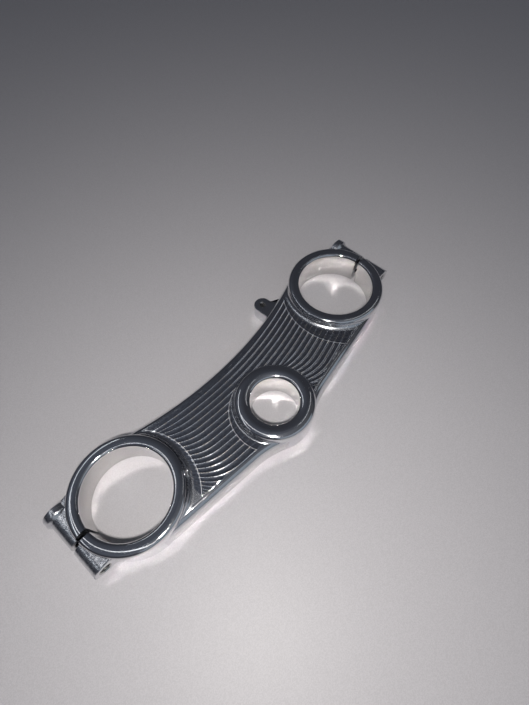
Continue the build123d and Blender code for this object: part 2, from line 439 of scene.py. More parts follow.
@dataclass(frozen=True)
class Aluminium:
    """What every billet finish shares: two close tints, a cloudy polish and the marks of its making."""

    name: str
    bright: Colour = (0.715, 0.72, 0.74, 1.0)
    dull: Colour = (0.645, 0.655, 0.685, 1.0)
    roughness: float = 0.10
    cloud_scale: float = 38.0
    cloud_detail: float = 3.0
    cloud_span: Span = (0.35, 0.68)
    cloud_depth: float = 0.05
    relief: float = 0.08
    relief_mm: float = 0.03

    def cloud(self, recipe: Recipe) -> Value:
        """Slow change of the polish, from soft noise."""
        return recipe.noise(self.cloud_scale, self.cloud_detail).ramp(*self.cloud_span)

    def marks(self, recipe: Recipe, cloud: Value) -> tuple[Any, Value]:
        """Roughness that the marks add, and their height."""
        raise NotImplementedError

    def material(self) -> bpy.types.Material:
        """Builds the material."""
        recipe = SurfaceRecipe(self.name)
        cloud = self.cloud(recipe)
        rough, height = self.marks(recipe, cloud)
        return recipe.finish({
            "Metallic": 1.0,
            "Base Color": recipe.blend(cloud, self.bright, self.dull),
            "Roughness": self.roughness + cloud * self.cloud_depth + rough,
            "Normal": recipe.bump(height, self.relief, self.relief_mm),
        })


@dataclass(frozen=True)
class PolishedFinish(Aluminium):
    """Buffed rims, edges and outer walls with a few hairlines."""

    name: str = "polished_billet"
    roughness: float = 0.065
    cloud_depth: float = 0.03
    relief: float = 0.12
    relief_mm: float = 0.05
    hairs_across: Triple = (2600.0, 130.0, 260.0)
    across_span: Span = (0.66, 0.74)
    hairs_along: Triple = (170.0, 2900.0, 230.0)
    along_span: Span = (0.68, 0.76)
    hair_rough: float = 0.07
    hair_rise: float = 0.6
    grain_scale: float = 900.0

    def marks(self, recipe: Recipe, cloud: Value) -> tuple[Any, Value]:
        """Sparse hairlines in two crossing directions, from two stretched noises, over an even grain."""
        across = recipe.noise(self.hairs_across, 1.0).ramp(*self.across_span)
        along = recipe.noise(self.hairs_along, 1.0).ramp(*self.along_span)
        hairs = across + along
        return hairs * self.hair_rough, recipe.noise(self.grain_scale) + hairs * self.hair_rise


@dataclass(frozen=True)
class ScallopedFinish(Aluminium):
    """Cutter passes: a mottled polish, feed ripples along the run and a chalky burr on crests that carry a
    painted highlight in a lighter cool or warm colour.

    The burr is wider near a band and lighter on the left, and a raised lip runs along the bands.
    """

    name: str = "scalloped_billet"
    dull: Colour = (0.46, 0.475, 0.53, 1.0)
    roughness: float = 0.055
    cloud_depth: float = 0.02
    relief: float = 0.07
    feed_mm: float = 1.5
    wander_scale: float = 260.0
    wander: float = 9.0
    grain_scale: float = 1400.0
    mottle_scale: float = 620.0
    mottle_span: Span = (0.38, 0.66)
    mottle_rough: float = 0.05
    # Painted highlight: the crests are painted a lighter cool or warm colour, standing in for the bright
    # ridge lines and their coloured glints.
    cool_crest_glint: Colour = (0.82, 0.88, 0.98, 1.0)
    warm_crest_glint: Colour = (0.95, 0.88, 0.81, 1.0)
    glint_hue_scale: float = 330.0
    glint_hue_span: Span = (0.46, 0.62)
    crest_glint_span: Span = (0.14, 0.0)
    crest_glint_share: float = 0.8
    lip_mm: float = 0.35
    lip_before_mm: float = 0.2
    lip_after_mm: float = 0.25
    lip_rise: float = 30.0
    burr_span: Span = (0.05, 0.012)
    burr_rough: float = 0.55
    burr_chalk: float = 0.3
    ripple_burr: float = 0.4
    flare_mm: float = 4.5
    flare: float = 1.0
    band_span: Span = (-0.2, 0.3)
    band_burr: float = 0.3
    left_span: Span = (-0.005, 0.05)
    left_burr: float = 0.6

    def lip(self, gap: Value) -> Value:
        """Thin ridge at a set distance outside the bands."""
        before = gap.ramp(self.lip_mm - self.lip_before_mm, self.lip_mm)
        return before * gap.ramp(self.lip_mm + self.lip_after_mm, self.lip_mm)

    def burr(self, recipe: Recipe, gap: Value, aside: Value, ripple: Value) -> Value:
        """Burr along the crests, broken by the ripples and weaker in the bands and on the left."""
        flare = gap.ramp(self.flare_mm, self.lip_mm) * self.flare + 1.0
        crest = (aside / flare).ramp(*self.burr_span)
        clear = gap.ramp(*self.band_span).raised(self.band_burr)
        weight = recipe.axis(recipe.place(), "X").ramp(*self.left_span).raised(self.left_burr)
        return crest * ripple.raised(self.ripple_burr) * clear * weight

    def material(self) -> bpy.types.Material:
        """Builds the material."""
        recipe = SurfaceRecipe(self.name)
        gap = recipe.attribute("pass_gap")
        aside = (recipe.attribute("pass_line").math("FRACT") - 0.5).math("ABSOLUTE")
        feed = recipe.attribute("pass_run") * (math.tau / self.feed_mm)
        ripple = (feed + recipe.noise(self.wander_scale) * self.wander).wave()
        lip = self.lip(gap)
        burr = self.burr(recipe, gap, aside, ripple).math("MAXIMUM", lip)
        mottle = recipe.noise(self.mottle_scale, self.cloud_detail).ramp(*self.mottle_span)
        plain = recipe.blend(mottle, self.bright, self.dull)
        # Painted highlight on the crests, its colour drifting between cool and warm by a soft noise.
        glint_hue_drift = recipe.noise(self.glint_hue_scale, 1.0).ramp(*self.glint_hue_span)
        painted_crest_glint = recipe.blend(glint_hue_drift, self.cool_crest_glint, self.warm_crest_glint)
        crest = aside.ramp(*self.crest_glint_span) * self.crest_glint_share
        polish = self.roughness + self.cloud(recipe) * self.cloud_depth + mottle * self.mottle_rough
        height = ripple + recipe.noise(self.grain_scale) + lip * self.lip_rise
        return recipe.finish({
            "Metallic": 1.0 - burr * self.burr_chalk,
            "Base Color": recipe.blend(crest, plain, painted_crest_glint),
            "Roughness": polish + burr * self.burr_rough,
            "Normal": recipe.bump(height, self.relief, self.relief_mm),
        })


@dataclass(frozen=True)
class BoredFinish(Aluminium):
    """Bores and holes with fine turning rings up the wall."""

    name: str = "bored_billet"
    bright: Colour = (0.54, 0.535, 0.526, 1.0)
    dull: Colour = (0.475, 0.469, 0.460, 1.0)
    roughness: float = 0.13
    cloud_depth: float = 0.0
    relief: float = 0.07
    relief_mm: float = 0.02
    feed_mm: float = 0.32
    wander_scale: float = 180.0
    wander: float = 5.0
    streaks: Triple = (90.0, 90.0, 2600.0)
    streak_rough: float = 0.10
    ring_rough: float = 0.03

    def marks(self, recipe: Recipe, cloud: Value) -> tuple[Any, Value]:
        """Rings by the sine of the height over the feed, wandering a little, and streaks between them."""
        climb = recipe.axis(recipe.place(), "Z") * (math.tau / (self.feed_mm * MM))
        rings = (climb + recipe.noise(self.wander_scale) * self.wander).wave()
        streak = recipe.noise(self.streaks)
        return streak * self.streak_rough + rings * self.ring_rough, rings + streak


@dataclass(frozen=True)
class MilledFinish(Aluminium):
    """Underside, slit faces and the plate's upright walls, left with the marks of a flat cutter."""

    name: str = "milled_billet"
    bright: Colour = (0.62, 0.618, 0.622, 1.0)
    dull: Colour = (0.55, 0.55, 0.556, 1.0)
    roughness: float = 0.13
    relief: float = 0.15
    arc_mm: float = 0.9
    slant: float = 0.35
    grain: Triple = (2200.0, 500.0, 900.0)
    grain_rough: float = 0.12

    def marks(self, recipe: Recipe, cloud: Value) -> tuple[Any, Value]:
        """Slanting marks by the sine of X plus a share of Y, over a stretched grain."""
        place = recipe.place()
        sweep = recipe.axis(place, "X") + recipe.axis(place, "Y") * self.slant
        grain = recipe.noise(self.grain)
        return grain * self.grain_rough, (sweep * (math.tau / (self.arc_mm * MM))).wave() + grain


@dataclass(frozen=True)
class BandFinish(Aluminium):
    """Plain bands and feet round the rings, with fine turning lines about the nearest ring's axis."""

    name: str = "banded_billet"
    roughness: float = 0.155
    axes: tuple[Span, ...] = ()
    feed_mm: float = 0.6
    wander_scale: float = 220.0
    wander: float = 4.0
    dashes: Triple = (1700.0, 420.0, 420.0)
    dash_span: Span = (0.5, 0.72)
    dash_rough: float = 0.06
    dash_rise: float = 0.4
    ring_rough: float = 0.04

    def marks(self, recipe: Recipe, cloud: Value) -> tuple[Any, Value]:
        """Rings by the sine of the distance from the nearest axis over the feed, and short dashes."""
        level = recipe.stretched((1.0, 1.0, 0.0))
        reaches = [recipe.distance(level, (x * MM, y * MM, 0.0)) for x, y in self.axes]
        reach = reduce(lambda first, second: first.math("MINIMUM", second), reaches)
        swing = reach * (math.tau / (self.feed_mm * MM))
        rings = (swing + recipe.noise(self.wander_scale) * self.wander).wave()
        dashes = recipe.noise(self.dashes).ramp(*self.dash_span)
        return rings * self.ring_rough + dashes * self.dash_rough, rings + dashes * self.dash_rise


@dataclass(frozen=True)
class SatinFinish(Aluminium):
    """Pinch bosses, only lightly buffed, with a blotchy sheen."""

    name: str = "satin_billet"
    roughness: float = 0.15
    cloud_scale: float = 420.0
    cloud_span: Span = (0.36, 0.64)
    cloud_depth: float = 0.12
    relief: float = 0.2
    relief_mm: float = 0.1
    grain_scale: float = 1800.0
    grain_rise: float = 0.3

    def marks(self, recipe: Recipe, cloud: Value) -> tuple[Any, Value]:
        """Blotches as high as the cloud, with a fine grain on them."""
        return 0.0, cloud + recipe.noise(self.grain_scale) * self.grain_rise


def billet_finishes(plan: "ClampPlan") -> list[bpy.types.Material]:
    """Materials of the billet in the order of the skins."""
    axes = ((0.0, 0.0), (plan.fork_x, plan.fork_y), (-plan.fork_x, plan.fork_y))
    finishes = {
        Skin.POLISHED: PolishedFinish(),
        Skin.SCALLOPED: ScallopedFinish(),
        Skin.BORED: BoredFinish(),
        Skin.MILLED: MilledFinish(),
        Skin.BANDED: BandFinish(axes=axes),
        Skin.SATIN: SatinFinish(),
    }
    return [finishes[skin].material() for skin in Skin]


class RearEdge(NamedTuple):
    """Right half of the rear edge: its points, and the line's own directions."""

    fork: Array
    start: Array
    blend: Array
    touch: Array
    along: Array
    out: Array


@dataclass(frozen=True)
class ClampPlan:
    """Plan and main heights of the clamp, in millimetres."""

    fork_x: float
    fork_y: float
    fork_bore_r: float
    stem_bore_r: float
    height: float
    fork_wall: float = 8.0
    stem_wall: float = 10.4
    fork_cove_r: float = 4.0
    stem_cove_r: float = 2.5
    stem_lean: float = 25.0
    slit: float = 3.0
    front_edge_y: float = 45.0
    rear_slope: float = 0.12
    rear_blend_r: float = 60.0
    floor_z: float = 17.5
    edge_round: float = 4.5

    @classmethod
    def from_frame(cls, mounts: dict[str, dict[str, Any]]) -> "ClampPlan":
        """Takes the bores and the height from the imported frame."""
        fork = mounts["fork_bore_right"]
        return cls(
            fork_x=fork["pos_m"][0] / MM,
            fork_y=fork["pos_m"][1] / MM,
            fork_bore_r=fork["dims"]["r_mm"],
            stem_bore_r=mounts["stem_bore"]["dims"]["r_mm"],
            height=CAD_HIGH.z / MM,
        )

    @property
    def fork_ring_r(self) -> float:
        """Outer radius of a fork ring."""
        return self.fork_bore_r + self.fork_wall

    @property
    def stem_ring_r(self) -> float:
        """Outer radius of the stem ring."""
        return self.stem_bore_r + self.stem_wall

    @property
    def front_r(self) -> float:
        """Radius of the front arc that runs tangent into both fork rings."""
        gap = self.front_edge_y - self.fork_y
        top = self.fork_x**2 + gap**2 - self.fork_ring_r**2
        return top / (2 * (self.fork_ring_r - gap))

    @property
    def front_centre_y(self) -> float:
        """Y of the front arc's centre, which lies on the middle plane."""
        return self.front_edge_y + self.front_r

    @cached_property
    def rear(self) -> RearEdge:
        """Rear line tangent to the fork ring, and the hollow arc that carries it into the stem ring."""
        slope = math.atan(self.rear_slope)
        along = np.array([-math.cos(slope), -math.sin(slope)])
        out = np.array([math.sin(slope), -math.cos(slope)])
        fork = np.array([self.fork_x, self.fork_y]) + out * self.fork_ring_r
        depth = float(fork @ out)
        both = self.stem_ring_r + self.rear_blend_r
        reach = math.sqrt(both**2 - (depth + self.rear_blend_r) ** 2)
        start = out * depth - along * reach
        blend = start + out * self.rear_blend_r
        touch = blend / np.linalg.norm(blend) * self.stem_ring_r
        return RearEdge(fork, start, blend, touch, along, out)

    def front_gap(self, x: Array, y: Array) -> Array:
        """Distance inside the front arc, positive on the plate."""
        return np.hypot(x, y - self.front_centre_y) - self.front_r

    def rear_gap(self, x: Array, y: Array) -> Array:
        """Distance inside the rear edge: from the line, or past its end from the hollow arc."""
        edge = self.rear
        px = np.abs(x)
        line = -((px - edge.fork[0]) * edge.out[0] + (y - edge.fork[1]) * edge.out[1])
        hollow = np.hypot(px - edge.blend[0], y - edge.blend[1]) - self.rear_blend_r
        past = (px - edge.start[0]) * edge.along[0] + (y - edge.start[1]) * edge.along[1] > 0
        return np.where(past, hollow, line)

    def edge_gap(self, x: Array, y: Array) -> Array:
        """Distance from the nearer of the two long edges."""
        return np.minimum(self.front_gap(x, y), self.rear_gap(x, y))

    def ring_gap(self, x: Array, y: Array, wall_share: float = 1.0) -> Array:
        """Distance outside the nearest ring, taken at a share of its wall."""
        stem = np.hypot(x, y) - self.stem_bore_r - self.stem_wall * wall_share
        fork = np.hypot(np.abs(x) - self.fork_x, y - self.fork_y)
        return np.minimum(stem, fork - self.fork_bore_r - self.fork_wall * wall_share)

    def top_z(self, x: Array, y: Array) -> Array:
        """Height of the plain top: the floor, falling by a quarter circle towards an edge."""
        inside = np.clip(self.edge_gap(x, y), 0.0, self.edge_round)
        drop = np.sqrt(self.edge_round**2 - (self.edge_round - inside) ** 2)
        return self.floor_z - self.edge_round + drop


@dataclass
class Piece:
    """A sub-assembly of the clamp that becomes one visible piece."""

    plan: ClampPlan

    def shell(self) -> Shell:
        """Works out the surfaces."""
        raise NotImplementedError

    def dress(self, finishes: list[bpy.types.Material]) -> bpy.types.Object:
        """Makes the object, gives it the billet finishes and ties it to the frame.

        Args:
            finishes: Materials in the order of the skins.

        Returns:
            The finished piece.
        """
        shell = self.shell()
        mesh = shell.mesh()
        for material in finishes:
            mesh.materials.append(material)
        piece = placed(shell.name, mesh)
        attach(piece, BODY)
        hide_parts(NODE)
        return piece


@dataclass
class BridgePlate(Piece):
    """Plate that joins the rings, with rounded upper edges and a flat underside."""

    half_stations: int = 150
    round_rows: int = 12
    floor_rows: int = 30
    under_rows: int = 16
    support: float = 0.4
    underside: float = 0.04
    wall_share: float = 0.5

    def rear_path(self, share: Array) -> tuple[Array, Array]:
        """Right rear edge by share of its length: a chord in the stem ring, the hollow arc, the line.

        Args:
            share: Shares from 0 at the middle plane to 1 at the fork ring.

        Returns:
            Points and outward normals, each of shape (count, 2).
        """
        edge = self.plan.rear
        first = np.arctan2(*(edge.touch - edge.blend)[::-1])
        last = np.arctan2(*(edge.start - edge.blend)[::-1])
        turn = (last - first + math.pi) % math.tau - math.pi
        chord = edge.touch[0]
        hollow = abs(turn) * self.plan.rear_blend_r
        line = np.linalg.norm(edge.fork - edge.start)
        run = share * (chord + hollow + line)
        angle = first + turn * np.clip((run - chord) / hollow, 0.0, 1.0)
        ray = stacked(np.cos(angle), np.sin(angle))
        in_chord = stacked(run, edge.touch[1])
        on_line = edge.start + (edge.fork - edge.start) * ((run - chord - hollow) / line)[:, None]
        stage = [(run < chord)[:, None], (run < chord + hollow)[:, None]]
        points = np.select(stage, [in_chord, edge.blend + self.plan.rear_blend_r * ray], on_line)
        normals = np.select(stage, [np.array([[0.0, -1.0]]), -ray], edge.out[None, :])
        return points, normals

    def front_path(self, share: Array) -> tuple[Array, Array]:
        """Right half of the front arc by share of its angle, with normals towards its centre."""
        plan = self.plan
        centre = np.array([0.0, plan.front_centre_y])
        end = math.atan2(plan.fork_y - plan.front_centre_y, plan.fork_x)
        angle = -QUARTER + (end + QUARTER) * share
        ray = stacked(np.cos(angle), np.sin(angle))
        return centre + plan.front_r * ray, -ray

    def half(self) -> Array:
        """Right half: the closed section carried along the two edges, of shape (stations, section, 3)."""
        plan = self.plan
        share = np.linspace(0.0, 1.0, self.half_stations)
        rear, rear_out = self.rear_path(share)
        front, front_out = self.front_path(share)
        inset, rise = rounded_wall(
            self.underside, plan.floor_z, plan.edge_round, self.support, self.round_rows
        )
        rear_side = rear[:, None] - rear_out[:, None] * inset[None, :, None]
        front_side = (front[:, None] - front_out[:, None] * inset[None, :, None])[:, ::-1]
        across = np.linspace(0.0, 1.0, self.floor_rows)[None, 1:-1, None]
        floor = rear_side[:, -1:] + (front_side[:, :1] - rear_side[:, -1:]) * across
        back = np.linspace(0.0, 1.0, self.under_rows)[None, 1:, None]
        under = front[:, None] + (rear - front)[:, None] * back
        section = np.concatenate([rear_side, floor, front_side, under], axis=1)
        floor_z = np.full(floor.shape[1], plan.floor_z)
        under_z = np.full(under.shape[1], self.underside)
        z = np.concatenate([rise, floor_z, rise[::-1], under_z])
        return stacked(section[..., 0], section[..., 1], z[None, :])

    def shell(self) -> Shell:
        """Both halves as one closed section run from fork ring to fork ring, up to mid-wall in each ring."""
        right = self.half()
        left = right[:0:-1] * np.array([-1.0, 1.0, 1.0])
        whole = np.concatenate([left, right]).transpose(1, 0, 2)
        keep = self.plan.ring_gap(whole[..., 0], whole[..., 1], self.wall_share) >= 0
        skins = np.full(len(whole) - 1, Skin.POLISHED.value)
        side_rows = self.round_rows + 1
        skins[side_rows : side_rows + self.floor_rows - 1] = Skin.BANDED.value
        skins[1 - self.under_rows :] = Skin.MILLED.value
        skins[[0, 2 * side_rows + self.floor_rows - 2]] = Skin.MILLED.value
        shell = Shell("bridge_plate")
        shell.grid(whole, skins, keep=keep)
        return shell


@dataclass(frozen=True)
class CutterPasses:
    """Ball-nose passes about one far centre, each with a tighter hook at its left end."""

    centre_x: float = -5.5
    centre_y: float = 297.5
    first_r: float = 258.0
    pitch: float = 3.87
    ball_r: float = 5.0
    ball_share: float = 0.9
    lift: float = 0.1
    stock: float = 0.55
    crest_soft: float = 0.05

    def radius(self, line: Array) -> Array:
        """Radius of a pass by its number, whole numbers being valleys."""
        return self.first_r + self.pitch * line

    def angle_at(self, line: Array, x: Measure) -> Array:
        """Angle from the rear direction at which a pass reaches an x."""
        return np.arcsin((x - self.centre_x) / self.radius(line))

    def trace(
        self, line: Array, share: Array, begin: Array, turn: Array, hook_r: Array, hook_run: Array
    ) -> tuple[Array, Array, Array]:
        """Plan of passes: an arc about the common centre, then a tangent arc that turns forwards.

        Args:
            line: Pass numbers, of shape (rows, 1).
            share: Share of each pass's length, of shape (1, columns).
            begin: Angle at which a pass begins at its right end.
            turn: Angle at which its hook begins.
            hook_r: Radius of its hook.
            hook_run: Length of its hook.

        Returns:
            X, Y and the length run, each of shape (rows, columns).
        """
        radius = self.radius(line)
        hook_r = np.minimum(hook_r, radius)
        arc_run = radius * (begin - turn)
        run = share * (arc_run + hook_run)
        on_hook = np.maximum(run - arc_run, 0.0)
        angle = np.where(on_hook > 0, turn - on_hook / hook_r, begin - run / radius)
        bend_r = np.where(on_hook > 0, hook_r, radius)
        lean = np.where(on_hook > 0, radius - hook_r, 0.0)
        x = self.centre_x + lean * np.sin(turn) + bend_r * np.sin(angle)
        y = self.centre_y - lean * np.cos(turn) - bend_r * np.cos(angle)
        return x, y, run

    def spacing(self, line: Array, x: Array, y: Array) -> Array:
        """Distance between neighbouring passes, square to their run, from the grid's own slopes."""
        along_x, along_y = np.gradient(x, axis=1), np.gradient(y, axis=1)
        across_x = np.gradient(x, line[:, 0], axis=0)
        across_y = np.gradient(y, line[:, 0], axis=0)
        return np.abs(across_x * along_y - across_y * along_x) / np.hypot(along_x, along_y)

    def bowl(self, distance: Array) -> Array:
        """Height of the ball's round above the bottom of its pass."""
        reach = np.minimum(distance, self.ball_share * self.ball_r)
        return self.ball_r - np.sqrt(self.ball_r**2 - reach**2)

    def height(self, line: Array, spacing: Array, last: int) -> Array:
        """Height above the plain floor: the soft lower envelope of two neighbouring bowls and the stock.

        Args:
            line: Pass numbers, of shape (rows, 1).
            spacing: Distance between passes at each point.
            last: Number of the last pass that was cut.

        Returns:
            Heights of the same shape as spacing.
        """
        near = np.clip(np.floor(line), 0, last)
        following = np.clip(near + 1, 0, last)
        surfaces = [
            self.bowl(np.abs(line - near) * spacing),
            self.bowl(np.abs(line - following) * spacing),
            np.full_like(spacing, self.stock),
        ]
        total = sum(np.exp(-surface / self.crest_soft) for surface in surfaces)
        return self.lift - self.crest_soft * np.log(total)


@dataclass
class ScallopedFloor(Piece):
    """Left or right bay of the floor with every cutter pass, standing just proud of the plate."""

    bay: Side
    passes: CutterPasses = CutterPasses()
    join_x: float = 0.0
    hook_r: float = 32.0
    left_turn_x: float = -43.5
    left_ease: float = 130.0
    left_ease_from: float = 0.8
    left_hook_run: float = 48.0
    left_last: int = 19
    right_end_x: float = 88.0
    right_turn_x: float = 41.0
    right_turn_step: float = 0.95
    right_hook_from: int = 7
    right_ease: float = 90.0
    right_ease_from: float = 0.05
    right_last: int = 15
    row_steps: tuple[float, ...] = (0.0, 0.17, 0.31, 0.40, 0.45, 0.48)
    rows_past_last: int = 3
    columns: int = 260
    left_band: Triple = (-102.0, 24.0, 42.0)
    right_band: Triple = (100.0, 20.3, 43.8)
    stem_band: Triple = (-4.5, -2.0, 27.8)
    sink: float = 0.35
    ramp_in: float = 0.12
    ramp_out: float = -0.38
    margin: float = 0.7
    trace: float = 0.25
    past_end: float = 0.75

    def band_gap(self, x: Array, y: Array) -> Array:
        """Distance outside the nearest of the three bands turned round the rings."""
        bands = (self.left_band, self.right_band, self.stem_band)
        gaps = [np.hypot(x - mid_x, y - mid_y) - band_r for mid_x, mid_y, band_r in bands]
        return reduce(np.minimum, gaps)

    def lines(self, last: int) -> Array:
        """Pass numbers of the grid's rows, closer together towards each crest half-way between passes."""
        half = np.array(self.row_steps)
        one = np.concatenate([half, 1.0 - np.append(half[1:], 0.5)[::-1]])
        count = last + self.rows_past_last
        return np.append(np.arange(-1, count)[:, None] + one, count).reshape(-1, 1)

    def left_bay(self, line: Array, share: Array, join: Array) -> tuple[Array, ...]:
        """Passes from the middle leftwards, hooking forwards beside the left fork ring."""
        turn = self.passes.angle_at(line, self.left_turn_x)
        hook_r = self.hook_r + self.left_ease / np.maximum(line, self.left_ease_from) ** 2
        hook_run = np.full_like(line, self.left_hook_run)
        return self.passes.trace(line, share, join, turn, hook_r, hook_run)

    def right_bay(self, line: Array, share: Array, join: Array) -> tuple[Array, ...]:
        """Passes from the right fork ring leftwards, the later ones hooking into the stem ring."""
        late = line - self.right_hook_from
        begin = self.passes.angle_at(line, self.right_end_x)
        turn_x = self.right_turn_x + self.right_turn_step * np.maximum(late, 0.0)
        turn = self.passes.angle_at(line, turn_x)
        hook_r = self.hook_r + self.right_ease / np.maximum(late + 1.0, self.right_ease_from) ** 2
        hook_run = self.passes.radius(line) * (turn - join)
        return self.passes.trace(line, share, begin, turn, hook_r, hook_run)

    def shell(self) -> Shell:
        """Pass grid raised by the bowls, a trace of them in the bands, sunk under the plate at the edges."""
        left = self.bay is Side.LEFT
        last = self.left_last if left else self.right_last
        line = self.lines(last)
        share = np.linspace(0.0, 1.0, self.columns)[None, :]
        join = np.arcsin((self.join_x - self.passes.centre_x) / self.passes.first_r)
        x, y, run = (self.left_bay if left else self.right_bay)(line, share, np.full_like(line, join))
        lift = self.passes.height(line, self.passes.spacing(line, x, y), last)
        edge = self.plan.edge_gap(x, y) - self.plan.edge_round
        band = self.band_gap(x, y)
        lift = lift * (self.trace + (1 - self.trace) * smoothstep(self.ramp_out, self.ramp_in, band))
        clear = smoothstep(self.ramp_out, self.ramp_in, edge)
        z = self.plan.floor_z - self.sink + (lift + self.sink) * clear
        keep = (edge > self.ramp_out - self.margin) & (self.plan.ring_gap(x, y) > -self.margin)
        keep &= y > self.plan.rear.touch[1]
        ridge = np.clip(line, -self.past_end, last + self.past_end)
        shell = Shell("scalloped_floor_left" if left else "scalloped_floor_right")
        pattern = stacked(ridge, run, band)
        shell.grid(stacked(x, y, z), Skin.SCALLOPED, keep=keep, line=pattern, turn=True)
        return shell


@dataclass
class ClampRing(Piece):
    """Upright ring with rounded rim edges, a hollow foot on the plate side and, on a fork, a slit."""

    name: str
    centre: Span
    bore_r: float
    wall: float
    cove_r: float
    foot_from: float
    foot_to: float
    slit: float = 0.0
    side: Side = Side.RIGHT
    rim_out: float = 2.6
    rim_in: float = 2.0
    lean: float = 12.0
    chamfer: float = 0.6
    support: float = 0.4
    least_cove: float = 0.05
    cove_fade: float = 1.5
    columns: int = 288
    rim_rows: int = 13
    foot_rows: int = 14
    foot_columns: int = 220

    def rim(self) -> Array:
        """Top of the section: an outer round, a shallow crown tangent to both rounds, an inner round."""
        lean = math.radians(self.lean)
        sin, cos = math.sin(lean), math.cos(lean)
        outer, inner, top = self.bore_r + self.wall, self.bore_r, self.plan.height
        shoulder_out = outer - self.rim_out * (1 - sin)
        shoulder_in = inner + self.rim_in * (1 - sin)
        half = (shoulder_out - shoulder_in) / 2
        shoulder_z = top - half * math.tan(lean / 2)
        out_mid = (outer - self.rim_out, shoulder_z - self.rim_out * cos)
        in_mid = (inner + self.rim_in, shoulder_z - self.rim_in * cos)
        crown_mid = (shoulder_in + half, top - half / sin)
        out_round = arc_points(out_mid, self.rim_out, 0.0, 90.0 - self.lean, self.rim_rows)
        crown = arc_points(crown_mid, half / sin, 90.0 - self.lean, 90.0 + self.lean, self.rim_rows)
        in_round = arc_points(in_mid, self.rim_in, 90.0 + self.lean, 180.0, self.rim_rows)
        return np.concatenate([out_round, crown[1:-1], in_round])

    def profile(self) -> tuple[Array, Array]:
        """Closed section as radius and height, from the outer foot over the rim to the bore.

        Returns:
            Points of shape (count, 2), and a skin number for each strip between two points.
        """
        outer, inner = self.bore_r + self.wall, self.bore_r
        rim = self.rim()
        outside = [[outer, 0.0], [outer, rim[0, 1] - self.support]]
        bore_top = rim[-1, 1] - self.support
        inside = [[inner, bore_top], [inner, self.chamfer], [inner + self.chamfer, 0.0], [outer, 0.0]]
        points = np.concatenate([outside, rim, inside])
        skins = np.full(len(points) - 1, Skin.POLISHED.value)
        skins[-4:-1] = Skin.BORED.value
        skins[-1] = Skin.MILLED.value
        return points, skins

    def turned(self, points: Array) -> Array:
        """The section turned about the axis, its ends held back to the flat faces of the slit."""
        radius = points[:, :1]
        start = np.arcsin(self.slit / 2 / radius)
        angle = start + (math.tau - 2 * start) * np.linspace(0.0, 1.0, self.columns + 1)[None, :]
        return stacked(*spun(self.centre, radius, angle), points[:, 1:])

    def foot(self) -> Array:
        """Hollow foot: a quarter round laid on the plate's top, shrinking where the top falls away."""
        outer = self.bore_r + self.wall
        angle = np.radians(np.linspace(self.foot_from, self.foot_to, self.foot_columns))[None, :]
        gap = self.plan.edge_gap(*spun(self.centre, outer + self.cove_r / 2, angle))
        grown = smoothstep(0.0, self.cove_fade * self.plan.edge_round, gap)
        cove = self.least_cove + (self.cove_r - self.least_cove) * grown
        bend = np.radians(np.linspace(0.0, 90.0, self.foot_rows))[:, None]
        x, y = spun(self.centre, outer + cove * (1 - np.cos(bend)), angle)
        return stacked(x, y, self.plan.top_z(x, y) + cove * (1 - np.sin(bend)))

    def shell(self) -> Shell:
        """Turned section, the two slit faces and the hollow foot."""
        points, skins = self.profile()
        shell = Shell(self.name, self.side)
        body = self.turned(points)
        shell.grid(body, skins)
        if self.slit:
            shell.cap(body[:-1, 0], Skin.MILLED)
            shell.cap(body[-2::-1, -1], Skin.MILLED)
        shell.grid(self.foot(), Skin.BANDED, turn=True)
        return shell


